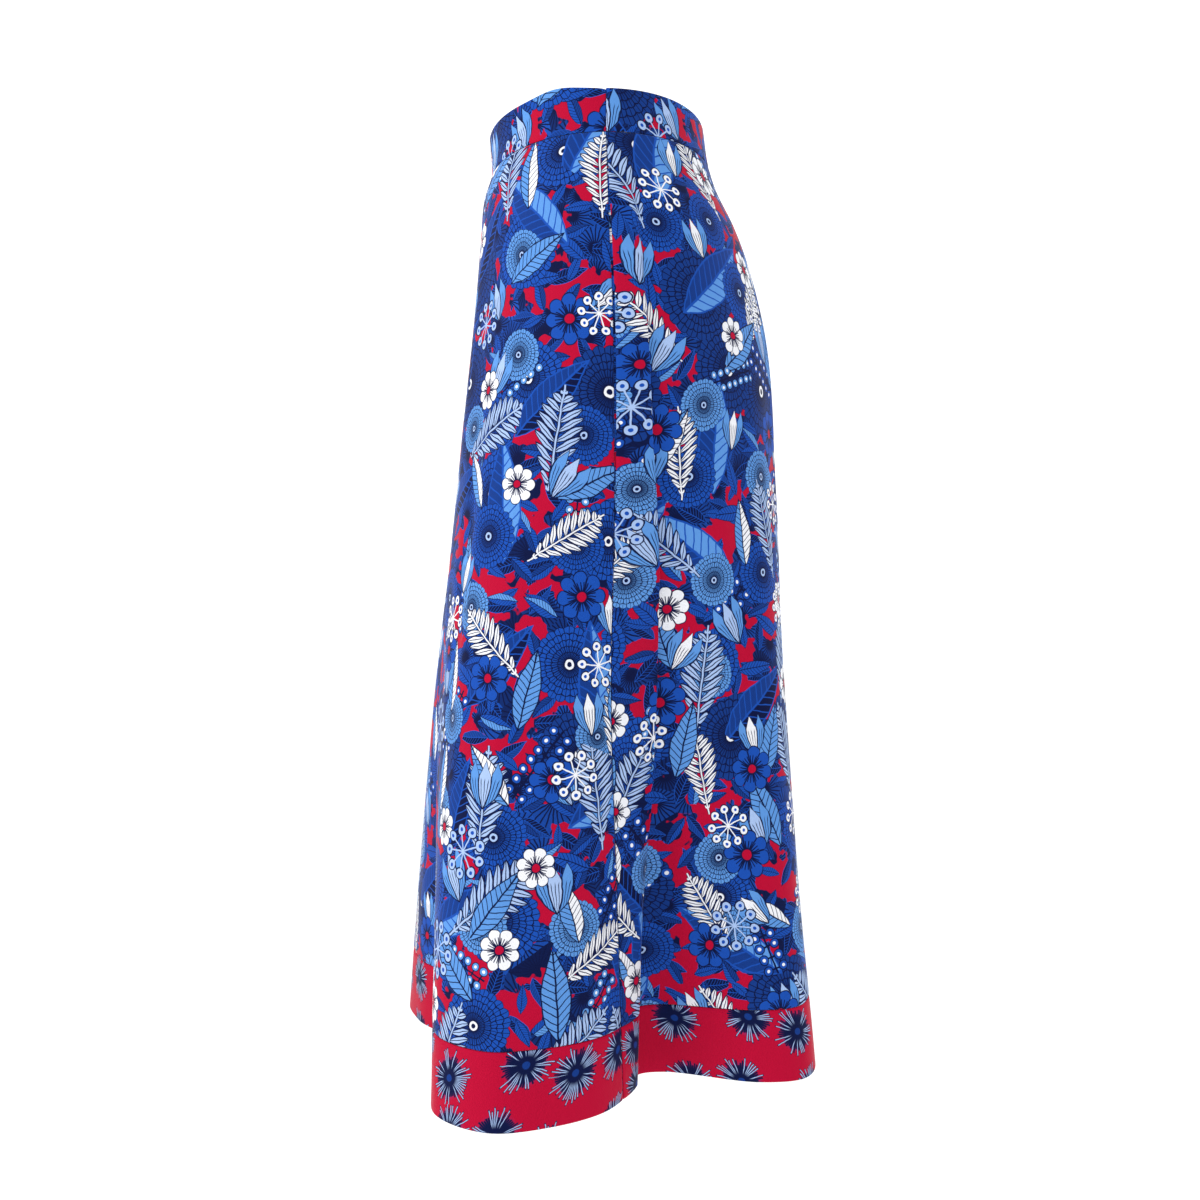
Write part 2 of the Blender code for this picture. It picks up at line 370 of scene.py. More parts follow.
def botanicalPrint(add, cloth):
    cells = add("VectorMath SCALE", {0: cloth, "Scale": 1 / undergrowth["tuft"]})
    tuft, offset = nearCell(add, cells, undergrowth["wander"])
    angle = angleAt(add, offset)
    turn = add("Math MULTIPLY", [angle, undergrowth["strokes"] / math.tau])
    hair = add("Math PINGPONG", [turn, 0.5])
    hair = add("Math MULTIPLY", [hair, tuft["Distance"]])
    hair = add("MapRange", [hair, *undergrowth["hair"]], **softStep)
    tone = add("SeparateColor", [tuft["Color"]])
    growth = overprint(add, ink["cobalt"], (tone, ink["navy"]), (hair, ink["navy"]))
    patch = {"Vector": cloth, "Scale": 1 / undergrowth["patch"], "Detail": 3.0}
    patch = add("TexNoise", patch, "Fac", noise_dimensions="2D")
    share = undergrowth["share"]
    grown = add("MapRange", [patch, share, share - undergrowth["edge"]], **softStep)
    colour = overprint(add, ink["crimson"], (grown, growth))
    for motif, cell, seed, share, size, base, spread, fill, otherFill, line, heart in layers:
        turns = [math.radians(-base - spread / 2), math.radians(spread)]
        placing = [cloth, cell, (seed, seed, 0.0), share, size, *turns]
        place, chosen, tone = add("Group", placing, None, node_tree=inScatter).outputs
        inked = overprint(add, ink[fill], (tone, ink[otherFill]))
        drawn = [place, inked, ink[line], ink[heart]]
        shape, cover = add("Group", drawn, None, node_tree=motifs[motif]).outputs
        cover = add("Math MULTIPLY", [cover, chosen])
        colour = overprint(add, colour, (cover, shape))
    return colour


# The hem band's print: round bursts of fine strokes, one to a cell, on crimson. Sizes are in
# millimetres, and a pair says where a soft edge starts and where it ends
burst = {
    "cell": 58.0,
    "wander": 0.45,
    "radius": 25.0,
    "uneven": 10.0,  # how much shorter the shortest stroke is
    "strokes": 56,
    "dark": (0.95, 0.6),
    "pale": (0.46, 0.20),
    "paleAbove": 0.52,  # strokes with a chance above this carry a pale line
    "halo": (20.0, 9.0),
    "haloShare": 0.95,
    "core": (12.0, 6.5),
    "heart": (3.6, 2.6),
}


def burstPrint(add, cloth):
    cells = add("VectorMath SCALE", {0: cloth, "Scale": 1 / burst["cell"]})
    near, offset = nearCell(add, cells, burst["wander"])
    angle = angleAt(add, offset)
    radius = add("Math MULTIPLY", [near["Distance"], burst["cell"]])
    turn = add("Math MULTIPLY", [angle, burst["strokes"] / math.tau])
    which = add("Math ROUND", [turn])
    across = add("Math PINGPONG", [turn, 0.5])
    across = add("Math MULTIPLY", [across, radius])
    across = add("Math MULTIPLY", [across, math.tau / burst["strokes"]])
    dice = add("SeparateColor", [near["Color"]], None).outputs
    dice = add("CombineXYZ", [which, dice["Red"], dice["Green"]])
    chance = add("TexWhiteNoise", {"Vector": dice}, "Value", noise_dimensions="3D")
    lengths = [burst["uneven"], burst["radius"] - burst["uneven"]]
    reach = add("Math MULTIPLY_ADD", [chance, *lengths])
    left = add("Math SUBTRACT", [reach, radius])  # to the stroke's tip
    halo = add("MapRange", [radius, *burst["halo"], 0.0, burst["haloShare"]], **softStep)
    dark = add("MapRange", [across, *burst["dark"]], **softStep)
    end = add("MapRange", [left, -0.3, 0.5], **softStep)
    dark = add("Math MULTIPLY", [dark, end])
    colour = overprint(add, ink["crimson"], (halo, ink["deep"]), (dark, ink["navy"]))
    pale = add("MapRange", [across, *burst["pale"]], **softStep)
    end = add("MapRange", [left, 0.6, 1.4], **softStep)
    some = add("Math GREATER_THAN", [chance, burst["paleAbove"]])
    pale = merge(add, "MULTIPLY", pale, end, some)
    core = add("MapRange", [radius, *burst["core"]], **softStep)
    heart = add("MapRange", [radius, *burst["heart"]], **softStep)
    return overprint(add, colour, (pale, ink["pale"]), (core, ink["navy"]), (heart, ink["deep"]))


inScatter = scatterPlacing()
drawings = {
    "leaf": drawLeaf,
    "flower": drawFlower,
    "aster": drawAster,
    "frond": drawFrond,
    "umbel": drawUmbel,
    "tulip": drawTulip,
    "berry": drawBerry,
}
motifs = {}
for name, draw in drawings.items():
    tree, add, given = newGroup(
        name + " motif",
        {"Place": "Vector", "Fill": "Color", "Line": "Color", "Heart": "Color"},
        {"Colour": "Color", "Cover": "Float"},
    )
    cover, first, *printed = draw(add, given["Place"])
    colour = overprint(add, given[first], *[(mask, given[label]) for mask, label in printed])
    add("NodeGroupOutput", [colour, cover])
    motifs[name] = tree

# Printed cotton sateen: a smooth close cloth with a low sheen, dull beside satin
sateen = {
    "roughness": 0.65,
    "specular": 0.05,
    "sheen": 0.20,
    "sheenRoughness": 0.22,  # low, so that only the turning edges look pale
    "threadsPerMm": 0.9,  # the real cloth has about 4, too fine to show
    "slubsPerMm": 0.35,  # thick places in the thread
    "slub": 1.2,  # how high they stand beside the weave
    "bump": 0.25,
    "bumpHeight": 0.0002,
    "sway": 2.4,  # how far, in mm, drawn lines wander
    "swaysPerMm": 0.07,
    "wrongSide": "#B4BACB",
    "wrongSideShare": 0.55,
}


def sateenCloth(name, paint, inside=False):
    material = bpy.data.materials.new(name)
    add = emptied(material)
    flat = add("UVMap", uv_map="cut")
    flat = add("VectorMath MULTIPLY", [flat, (1000.0, 1000.0, 0.0)])  # mm
    sway = {"Vector": flat, "Scale": sateen["swaysPerMm"], "Detail": 2.0}
    sway = add("TexNoise", sway, "Color", noise_dimensions="2D")
    far = (sateen["sway"], sateen["sway"], 0.0)
    colour = paint(add, add("VectorMath MULTIPLY_ADD", [sway, far, flat]))
    if inside:  # the ink strikes through, paler and greyer
        colour = overprint(add, colour, (sateen["wrongSideShare"], linearColour(sateen["wrongSide"])))
    threads = sateen["threadsPerMm"] * math.pi
    weave = add("VectorMath MULTIPLY", [flat, (threads, threads, 0.0)])
    weave = add("VectorMath SINE", [weave])
    weave = add("SeparateXYZ", [weave], None).outputs
    weave = add("Math MULTIPLY", [weave[0], weave[1]])
    slub = {"Vector": flat, "Scale": sateen["slubsPerMm"], "Detail": 3.0}
    slub = add("TexNoise", slub, "Fac", noise_dimensions="2D")
    height = add("Math MULTIPLY_ADD", [slub, sateen["slub"], weave])
    raised = {"Strength": sateen["bump"], "Distance": sateen["bumpHeight"], "Height": height}
    shader = add("BsdfPrincipled", {
        "Base Color": colour, "Roughness": sateen["roughness"], "Normal": add("Bump", raised),
        "Sheen Weight": sateen["sheen"], "Sheen Roughness": sateen["sheenRoughness"],
        "Specular IOR Level": sateen["specular"],
    })
    add("OutputMaterial", [shader])
    return material


printedSateen = sateenCloth("printed cotton sateen", botanicalPrint)
wrongSide = sateenCloth("printed cotton sateen, wrong side", botanicalPrint, inside=True)
borderSateen = sateenCloth("border cotton sateen", burstPrint)

# Overlocked edge: spun polyester thread in close loops, fine dull ridges across the edge, with painted
# shade in the dips between the loops
overlock = {
    "loop": 1.6,  # mm, from one loop to the next
    "slant": 0.25,  # how far a loop leans as it crosses the edge
    # the light colour is the thread on the loops, the dark one the same thread with painted shade, used
    # in the dips between loops
    "dark": "#16295C",
    "light": "#3E5FA8",
    "roughness": 0.6,
    "bump": 0.6,
    "bumpHeight": 0.0003,
}


def overlockedEdge():
    material = bpy.data.materials.new("overlocked polyester thread")
    add = emptied(material)
    flat = add("UVMap", uv_map="cut")
    down = (1000.0 * overlock["slant"], 1000.0, 0.0)  # mm
    down = add("VectorMath DOT_PRODUCT", [flat, down], 1)
    loop = add("Math PINGPONG", [down, overlock["loop"] / 2])
    # painted shade: the thread turns to the dark colour where the loops dip, the low parts of the same
    # ridges that the bump raises
    tone = add("MapRange", [loop, 0.0, 0.35], **softStep)
    colour = overprint(add, linearColour(overlock["dark"]), (tone, linearColour(overlock["light"])))
    raised = {"Strength": overlock["bump"], "Distance": overlock["bumpHeight"], "Height": loop}
    ridges = add("Bump", raised)
    thread = {"Base Color": colour, "Roughness": overlock["roughness"], "Normal": ridges}
    add("OutputMaterial", [add("BsdfPrincipled", thread)])
    return material


overlockThread = overlockedEdge()
print("materials made")

# The skirt's outer face, cut and sections as in the CAD model, in metres
cut = {
    "waistbandHeight": 0.038,
    "drop": 0.820,  # waist seam to hem, down the front
    "hemBandDepth": 0.064,
    "seamGap": 0.0003,
}
waistSeam = -cut["waistbandHeight"] / 2
hem = waistSeam - cut["drop"]
bandSeam = hem + cut["hemBandDepth"]
halfGap = cut["seamGap"] / 2
ovalSteps = 720  # points on half of an oval section
roundSteps = 400  # points that a length round the skirt is measured over
loopSteps = 60  # points on each stretch of the hem's outline
loopOverlap = 3  # rows of the outline repeated at its ends, so that it closes smoothly

# Level sections: name, z, half width, front, back, tilt, seam, folds. Tilt is how much higher the
# back lies than the front, seam how far behind the middle the side seams lie, and folds how far the
# oval has turned into the hem's outline
sections = [
    ("band top", -waistSeam, 0.1400, 0.1000, 0.0997, 0.0075, 0.0085, 0.0),
    ("waist seam", waistSeam, 0.1440, 0.0985, 0.1055, 0.0080, 0.0085, 0.0),
    ("below the waist", -0.040, 0.1500, 0.1048, 0.1120, 0.0078, 0.0090, 0.0),
    ("high hip", -0.075, 0.1600, 0.1078, 0.1290, 0.0070, 0.0100, 0.0),
    ("hip", -0.160, 0.1720, 0.1150, 0.1545, 0.0050, 0.0135, 0.0),
    ("thigh", -0.320, 0.1850, 0.1320, 0.1630, 0.0030, 0.0140, 0.14),
    ("knee", -0.500, 0.1950, 0.1490, 0.1622, 0.0010, 0.0060, 0.40),
    ("calf", -0.680, 0.2000, 0.1640, 0.1620, 0.0, 0.0080, 0.69),
    ("hem", hem, 0.2000, 0.1700, 0.1700, 0.0, 0.0, 1.0),
]

# The hem seen from above, from the left seam round the back: name, x, y, lift
hemOutline = [
    ("left seam", 0.137, 0.0235, 0.005),
    ("left valley side", 0.108, 0.0345, 0.006),
    ("left valley, inner side", 0.087, 0.0385, 0.008),
    ("left valley", 0.083, 0.0600, 0.010),
    ("back left fold, near", 0.118, 0.1400, 0.013),
    ("back left fold", 0.107, 0.1810, 0.013),
    ("back left fold, far", 0.055, 0.1955, 0.014),
    ("back valley", -0.015, 0.1600, 0.014),
    ("back right fold", -0.090, 0.2100, 0.014),
    ("back right fold, far", -0.160, 0.1750, 0.012),
    ("right back valley", -0.135, 0.0980, 0.010),
    ("right fold, back", -0.192, 0.0700, 0.008),
    ("right seam", -0.208, 0.0260, 0.006),
    ("right fold, front", -0.184, -0.0160, 0.004),
    ("right valley", -0.140, -0.0550, 0.003),
    ("front right fold, back", -0.196, -0.1200, 0.001),
    ("front right fold", -0.180, -0.1940, 0.0),
    ("front right fold, inner", -0.105, -0.1810, 0.0),
    ("front valley", -0.020, -0.1280, 0.0),
    ("front left fold, inner", 0.075, -0.1400, 0.0),
    ("front left fold, corner", 0.160, -0.1330, 0.0),
    ("front left fold", 0.200, -0.0850, 0.0),
    ("front left fold, side", 0.190, -0.0320, 0.002),
    ("front left fold, back", 0.168, 0.0040, 0.004),
]


def through(knots, values, at):  # a smooth curve through values at knots, read at the places in at
    slope = np.gradient(values, knots, axis=0)
    i = np.clip(np.searchsorted(knots, at) - 1, 0, len(knots) - 2)
    step = knots[i + 1] - knots[i]
    shape = (-1,) + (1,) * (values.ndim - 1)
    t = ((at - knots[i]) / step).reshape(shape)
    step = step.reshape(shape)
    start, end = values[i], values[i + 1]
    bendOut = slope[i] * step - (end - start)
    bendIn = (end - start) - slope[i + 1] * step
    return start + t * (end - start) + t * (1 - t) * ((1 - t) * bendOut + t * bendIn)


def closedOutline(points):
    around = np.concatenate([points[-loopOverlap:], points, points[:loopOverlap]])
    chords = np.linalg.norm(np.diff(around[:, :2], axis=0), axis=1)
    knots = np.concatenate([[0.0], np.cumsum(np.sqrt(chords))])
    places = np.arange(len(points) * loopSteps) / loopSteps
    whole = np.floor(places).astype(int)
    start = whole + loopOverlap
    at = knots[start] + (places - whole) * (knots[start + 1] - knots[start])
    return through(knots, around, at)


def evenly(curve, shares):  # points at the given shares of a curve's length in plan
    steps = np.linalg.norm(np.diff(curve[:, :2], axis=0), axis=1)
    along = np.concatenate([[0.0], np.cumsum(steps)])
    at = shares * along[-1]
    return np.stack([np.interp(at, along, curve[:, k]) for k in range(curve.shape[1])], axis=1)


def hemHalf(side):
    loop = closedOutline(np.array([row[1:] for row in hemOutline]))
    right = [row[0] for row in hemOutline].index("right seam") * loopSteps
    return loop[:right + 1] if side == "back" else np.concatenate([loop[right:], loop[:1]])


def ovalHalf(side, halfWidth, front, back, tilt, seamBehind):
    seamTurn = np.arcsin(seamBehind / back)
    turn = np.linspace(seamTurn, np.pi - seamTurn, ovalSteps + 1)
    if side == "front":
        turn = np.linspace(np.pi - seamTurn, 2 * np.pi + seamTurn, ovalSteps + 1)
    x = halfWidth * np.cos(turn)
    y = np.where(np.sin(turn) > 0, back, front) * np.sin(turn)
    return np.stack([x, y, tilt * y / (front + back)], axis=1)


def plainFace(side, levels, shares):  # a row for each level, a column for each share of the half
    hemRow = evenly(hemHalf(side), shares)
    rings = []
    for _, _, *ovalSizes, folds in sections:
        rings.append((1 - folds) * evenly(ovalHalf(side, *ovalSizes), shares) + folds * hemRow)
    down = -np.array([row[1] for row in sections])
    points = through(down, np.array(rings), -levels)
    points[:, :, 2] += levels[:, None]
    return points


def aroundAt(side, levels):  # length of the half round at each level
    face = plainFace(side, levels, np.linspace(0, 1, roundSteps))
    return np.linalg.norm(np.diff(face, axis=1), axis=2).sum(axis=1)


def outward(side, levels, shares):
    step = 0.002  # the slope is taken this far above and below
    down = plainFace(side, levels - step, shares) - plainFace(side, levels + step, shares)
    around = np.gradient(plainFace(side, levels, shares), axis=1)
    normal = np.cross(down, around)
    return normal / np.linalg.norm(normal, axis=2, keepdims=True)


# Edges where a flute rolls over: side, places down the cloth as (share round, z), then in metres
# how far the edge stands out, how deep the hollow behind it is and how far it leans to share 1
rolls = [
    ("back", [(0.036, -0.03), (0.044, -0.20), (0.049, -0.28), (0.068, -0.385), (0.073, -0.49),
              (0.071, -0.58), (0.063, -0.66), (0.053, -0.75), (0.043, -0.91)], 0.0022, 0.0070, 0.0095),
    ("front", [(0.090, -0.07), (0.105, -0.25), (0.118, -0.44), (0.112, -0.62)], 0.0018, 0.0045, 0.0060),
    ("back", [(0.905, -0.12), (0.915, -0.34), (0.910, -0.52), (0.915, -0.70)], 0.0015, 0.0040, -0.0055),
]
rollShape = {  # across a roll, in metres: its middle, then its reach before and behind
    "edge": (-0.006, 0.020, 0.007),
    "hollow": (0.010, 0.006, 0.022),
    "lean": (0.0, 0.018, 0.006),
}

# Other main creases: side, places as above, then how far they reach towards share 0 and towards
# share 1, and their height
creases = [
    ("front", [(0.640, -0.05), (0.645, -0.31)], 0.0120, 0.0180, 0.0025),
    ("front", [(0.630, -0.34), (0.625, -0.72)], 0.0130, 0.0200, 0.0028),
    ("front", [(0.735, -0.22), (0.745, -0.60)], 0.0160, 0.0120, -0.0028),
    ("front", [(0.870, -0.42), (0.865, -0.80)], 0.0120, 0.0160, -0.0022),
    ("front", [(0.420, -0.10), (0.410, -0.42)], 0.0140, 0.0220, -0.0026),
    ("front", [(0.270, -0.26), (0.280, -0.66)], 0.0130, 0.0150, 0.0026),
    ("back", [(0.240, -0.20), (0.225, -0.62)], 0.0140, 0.0190, -0.0030),
    ("back", [(0.400, -0.12), (0.410, -0.45)], 0.0130, 0.0130, 0.0024),
    ("back", [(0.560, -0.30), (0.555, -0.72)], 0.0150, 0.0180, -0.0030),
    ("back", [(0.720, -0.16), (0.735, -0.50)], 0.0120, 0.0160, 0.0026),
]
seam = {
    "depth": 0.0012,  # how far the cloth turns in at a seam
    "reach": 0.0012,
    "pucker": 0.0003,
    "puckerReach": 0.009,
    "puckerLength": 0.0115,
    "stray": 1.7,  # how unevenly the puckers follow each other, and how often that changes
    "strayRate": 61.0,
    "fade": 0.4,  # how much weaker some of them are, and how often that changes
    "fadeRate": 37.0,
}
drape = {
    "height": 0.0008,  # of the slight unevenness all over
    "across": 0.075,
    "down": 0.120,
    "fromWaist": 0.10,  # it grows over this length below the waist
    "fromSeam": 0.05,
    "start": {"front": 0.0, "back": 40.0},
}


def bump(off, middle, before, after):  # 1 at the middle, with a reach of its own on each side
    off = off - middle
    return np.exp(-(off / np.where(off < 0, before, after)) ** 2)


def seamDitch(distances):
    return seam["depth"] * np.exp(-distances / seam["reach"])


def fromCrease(path, levels, shares, around):  # distance from a crease, and how strong it is there
    places = np.array(path)[::-1]
    middle = np.interp(levels, places[:, 1], places[:, 0])
    t = np.clip((levels - places[0, 1]) / (places[-1, 1] - places[0, 1]), 0, 1)
    off = (shares[None, :] - middle[:, None]) * around[:, None]
    return off, (np.sin(np.pi * t) ** 0.7)[:, None]  # it fades out at both ends


def relief(side, levels, shares, around):  # how far the cloth stands out, leans and turns in
    high = np.zeros((len(levels), len(shares)))
    lean = np.zeros_like(high)
    for rollSide, path, height, hollow, over in rolls:
        if rollSide == side:
            off, fade = fromCrease(path, levels, shares, around)
            off = off * np.sign(over)
            high += fade * height * bump(off, *rollShape["edge"])
            high -= fade * hollow * bump(off, *rollShape["hollow"])
            lean += fade * over * bump(off, *rollShape["lean"])
    for creaseSide, path, before, after, height in creases:
        if creaseSide == side:
            off, fade = fromCrease(path, levels, shares, around)
            high += fade * height * bump(off, 0.0, before, after)
    uneven = np.empty_like(high)
    for i, z in enumerate(levels):
        for j, share in enumerate(shares):
            across = share * around[i] / drape["across"] + drape["start"][side]
            uneven[i, j] = noise.noise(Vector((across, z / drape["down"], 0.5)))
    fromSeam = np.minimum(shares, 1 - shares)[None, :] * around[:, None]
    free = np.clip((waistSeam - levels) / drape["fromWaist"], 0, 1)[:, None]
    high += drape["height"] * free * np.minimum(1.0, fromSeam / drape["fromSeam"]) * uneven
    stray = seam["stray"] * np.sin(levels * seam["strayRate"])
    wave = np.sin(math.tau * levels / seam["puckerLength"] + stray)
    wave *= 1 - seam["fade"] + seam["fade"] * np.sin(levels * seam["fadeRate"])
    high += seam["pucker"] * wave[:, None] * np.exp(-(fromSeam / seam["puckerReach"]) ** 2)
    return high, lean, seamDitch(fromSeam)


def clothPoints(side, levels, shares, ditches, insets):
    around = aroundAt(side, levels)
    points = plainFace(side, levels, shares)
    along = np.gradient(points, axis=1)
    along /= np.linalg.norm(along, axis=2, keepdims=True)
    high, lean, ditch = relief(side, levels, shares, around)
    high -= np.maximum(ditch, ditches[:, None]) + insets[:, None]
    points = points + outward(side, levels, shares) * high[:, :, None] + along * lean[:, :, None]
    return points, around


# Where the cloth is divided beside a seam, as distances from it, and how much closer at a roll
besideSeam = {
    "columns": np.array([halfGap, 0.0006, 0.0011, 0.0017, 0.0025, 0.0036, 0.0052]),
    "nextColumn": 0.0072,
    "rows": np.array([halfGap, 0.0006, 0.0012, 0.0020, 0.0031, 0.0046, 0.0066]),
    "nextRow": 0.009,
}
atRoll = {"closer": 2.5, "reach": 0.035}


def sharesAcross(side, columns):  # close together beside the side seams and at the rolled edges
    length = aroundAt(side, np.array([waistSeam]))[0]
    close = besideSeam["columns"] / length
    first = besideSeam["nextColumn"] / length
    places = np.linspace(first, 1 - first, 2001)  # finer than any column
    crowd = np.ones_like(places)
    for rollSide, path, *_ in rolls:
        if rollSide == side:
            middle = np.mean([share for share, _ in path])
            crowd += atRoll["closer"] * bump(places, middle, atRoll["reach"], atRoll["reach"])
    crowd = np.cumsum(crowd)
    spread = np.linspace(crowd[0], crowd[-1], columns - 2 * len(close))
    return np.concatenate([close, np.interp(spread, crowd, places), 1 - close[::-1]])


def gridMesh(name, points):
    rows, columns = points.shape[:2]
    bm = bmesh.new()
    bmesh.ops.create_grid(bm, x_segments=columns - 1, y_segments=rows - 1, size=1)
    mesh = bpy.data.meshes.new(name)
    bm.to_mesh(mesh)
    bm.free()
    flat = np.empty(len(mesh.vertices) * 3)
    mesh.vertices.foreach_get("co", flat)
    flat = flat.reshape(-1, 3)
    column = np.rint((flat[:, 0] + 1) / 2 * (columns - 1)).astype(int)
    row = np.rint((1 - flat[:, 1]) / 2 * (rows - 1)).astype(int)
    mesh.vertices.foreach_set("co", points[row, column].ravel())
    return mesh, row, column


def layOnCut(mesh, row, column, places):  # the UV map holds metres on the flat cut
    corners = np.empty(len(mesh.loops), dtype=np.int32)
    mesh.loops.foreach_get("vertex_index", corners)
    layer = mesh.uv_layers.new(name="cut")
    layer.data.foreach_set("uv", places[row[corners], column[corners]].astype(np.float32).ravel())


def finishCloth(mesh, name, thick, materials, inner=0):
    mesh.shade_smooth()
    for material in materials:
        mesh.materials.append(material)
    piece = addObject(name, mesh)
    wall = piece.modifiers.new("cloth thickness", "SOLIDIFY")
    wall.thickness = thick
    wall.offset = -1.0
    wall.use_even_offset = True
    wall.material_offset = inner
    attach(piece, "root")
    return piece


def sectorPlaces(levels, shares, around, waistRadius):  # a flared panel laid flat is part of a ring
    radius = waistRadius + (waistSeam - levels)
    turn = (shares[None, :] - 0.5) * (around / radius)[:, None]
    u = radius[:, None] * np.sin(turn)
    v = waistRadius - radius[:, None] * np.cos(turn)
    return np.stack([u, v], axis=2)


def stripPlaces(profile, shares, around):  # a straight strip, as long across as its profile
    across = np.cumsum(np.linalg.norm(np.diff(profile, axis=0), axis=1))
    u = (shares[None, :] - 0.5) * around[:, None]
    v = np.broadcast_to(-np.concatenate([[0.0], across])[:, None], u.shape)
    return np.stack([u, v], axis=2)


def foldedStrip(name, side, settings, material, profile, points, shares, around):
    mesh, row, column = gridMesh(f"{name} {side}", points)
    layOnCut(mesh, row, column, stripPlaces(profile, shares, around) + settings["printAt"][side])
    pieceName = f"{name.replace(' ', '_')}_cloth_{side}"
    return finishCloth(mesh, pieceName, settings["cloth"], [material])


# Flared panels
panel = {
    "thick": 0.0010,
    "columns": 230,
    "rows": 176,
    "flatHeight": 0.780,  # of the part of a ring, corner to corner
    "waistRadius": {"front": 0.723, "back": 0.925},
    "printAt": {"front": (0.060, 0.300), "back": (0.175, 0.110)},
}


def makePanel(side):
    close, clear = besideSeam["rows"], besideSeam["nextRow"]
    middle = np.linspace(waistSeam - clear, bandSeam + clear, panel["rows"] - 2 * len(close))
    levels = np.concatenate([waistSeam - close, middle, bandSeam + close[::-1]])
    shares = sharesAcross(side, panel["columns"])
    ditches = seamDitch(waistSeam - levels) + seamDitch(levels - bandSeam)
    points, around = clothPoints(side, levels, shares, ditches, np.zeros_like(levels))
    mesh, row, column = gridMesh(f"panel {side}", points)
    places = sectorPlaces(levels, shares, around, panel["waistRadius"][side])
    layOnCut(mesh, row, column, places + panel["printAt"][side])
    faces = [printedSateen, wrongSide]
    return finishCloth(mesh, f"panel_cloth_{side}", panel["thick"], faces, inner=1)


# Waistband: a strip folded along its top, its inner half turned down behind the seam
waistband = {
    "thick": 0.0024,  # over both layers and the interfacing
    "cloth": 0.0005,  # one layer
    "columns": 150,
    "foldRows": 11,
    "foldClear": 0.002,  # from the fold to the first straight row
    "innerRows": 7,
    "outerRows": 10,
    "flatHeight": 0.079,  # unfolded
    "turnedIn": [(-0.003, 0.0034), (0.0, 0.0036), (0.004, 0.0031)],  # height at the seam, depth
    "ditch": 0.8,  # of the panels' turn at the waist seam
    "step": {"front": -0.0011, "back": 0.0004},  # the two ends meet out of line at the left seam
    "stepReach": 0.005,
    "rise": {"front": 0.0035, "back": 0.0},  # the top stands a little higher beside the left seam
    "riseFrom": 0.045,
    "riseReach": 0.024,
    "level": 0.03,  # both grow over this height
    "printAt": {"front": (0.065, 0.240), "back": (0.300, 0.235)},
}


def makeWaistband(side):
    radius = waistband["thick"] / 2
    fold = np.radians(np.linspace(0, 180, waistband["foldRows"]))
    top = -waistSeam - radius
    straight = (waistSeam + besideSeam["nextRow"], top - waistband["foldClear"])
    behind = np.array(waistband["turnedIn"]) + (waistSeam, 0.0)
    innerUp = np.linspace(*straight, waistband["innerRows"])
    inner = np.stack([innerUp, np.full_like(innerUp, 2 * radius)], axis=1)
    over = np.stack([top + radius * np.sin(fold), radius + radius * np.cos(fold)], axis=1)
    close = besideSeam["rows"][::-1]
    outerDown = np.linspace(*straight[::-1], waistband["outerRows"])
    outerDown = np.concatenate([outerDown, waistSeam + close])
    outer = np.stack([outerDown, np.zeros_like(outerDown)], axis=1)
    profile = np.concatenate([behind, inner, over, outer])
    levels, insets = profile.T
    ditches = np.zeros_like(levels)
    ditches[-len(close):] = waistband["ditch"] * seamDitch(close)
    shares = sharesAcross(side, waistband["columns"])
    points, around = clothPoints(side, levels, shares, ditches, insets)
    leftEnd = shares if side == "back" else 1 - shares  # share from the left side seam
    fromLeft = leftEnd * around[0]
    uneven = waistband["step"][side] * np.exp(-fromLeft / waistband["stepReach"])
    reach = waistband["riseReach"]
    uneven += waistband["rise"][side] * bump(fromLeft, waistband["riseFrom"], reach, reach)
    grown = np.clip((levels - waistSeam) / waistband["level"], 0, 1)
    points[:, :, 2] += grown[:, None] * uneven[None, :]
    return foldedStrip("waistband", side, waistband, printedSateen, profile, points, shares, around)


# Hem band: a strip folded along the hem, its inner half turned up behind the seam
hemBand = {
    "thick": 0.0018,  # over both layers
    "cloth": 0.0005,
    "columns": 190,
    "foldRows": 9,
    "foldClear": 0.0015,
    "innerRows": 12,
    "outerRows": 16,
    "flatHeight": 0.132,  # unfolded
    "turnedIn": [(-0.004, 0.0025), (0.0, 0.0031), (0.003, 0.0029)],  # height at the seam, depth
    "printAt": {"front": (0.013, 0.030), "back": (0.041, 0.022)},
}


def makeHemBand(side):
    radius = hemBand["thick"] / 2
    fold = np.radians(np.linspace(0, 180, hemBand["foldRows"]))
    bottom = hem + radius
    straight = (bandSeam - besideSeam["nextRow"], bottom + hemBand["foldClear"])
    close = besideSeam["rows"]
    outerDown = np.linspace(*straight, hemBand["outerRows"])
    outerDown = np.concatenate([bandSeam - close, outerDown])
    outer = np.stack([outerDown, np.zeros_like(outerDown)], axis=1)
    under = np.stack([bottom - radius * np.sin(fold), radius - radius * np.cos(fold)], axis=1)
    innerUp = np.linspace(*straight[::-1], hemBand["innerRows"])
    inner = np.stack([innerUp, np.full_like(innerUp, 2 * radius)], axis=1)
    behind = np.array(hemBand["turnedIn"]) + (bandSeam, 0.0)
    profile = np.concatenate([outer, under, inner, behind])
    levels, insets = profile.T
    ditches = np.zeros_like(levels)
    ditches[:len(close)] = seamDitch(close)
    shares = sharesAcross(side, hemBand["columns"])
    points, around = clothPoints(side, levels, shares, ditches, insets)
    return foldedStrip("hem band", side, hemBand, borderSateen, profile, points, shares, around)


# Side seam allowances: the cloth folded back on each side of a seam, pressed open, with overlocked
# edges. One piece runs down each side seam, behind the panels and between the layers of the bands
allowance = {
    "reach": 0.012,
    "overlock": 0.0035,
    "columns": [0.0, 0.0006, 0.0012, 0.0022, 0.0036, 0.0060],  # from the seam to the overlocking
    "thick": 0.0004,
    "gap": 0.00015,
    "rows": 150,
    "belowTop": 0.0045,
    "aboveHem": 0.0040,
    "easing": 0.006,  # it passes from the bands to the panels over this length
    "printAt": (0.31, 0.90),
}


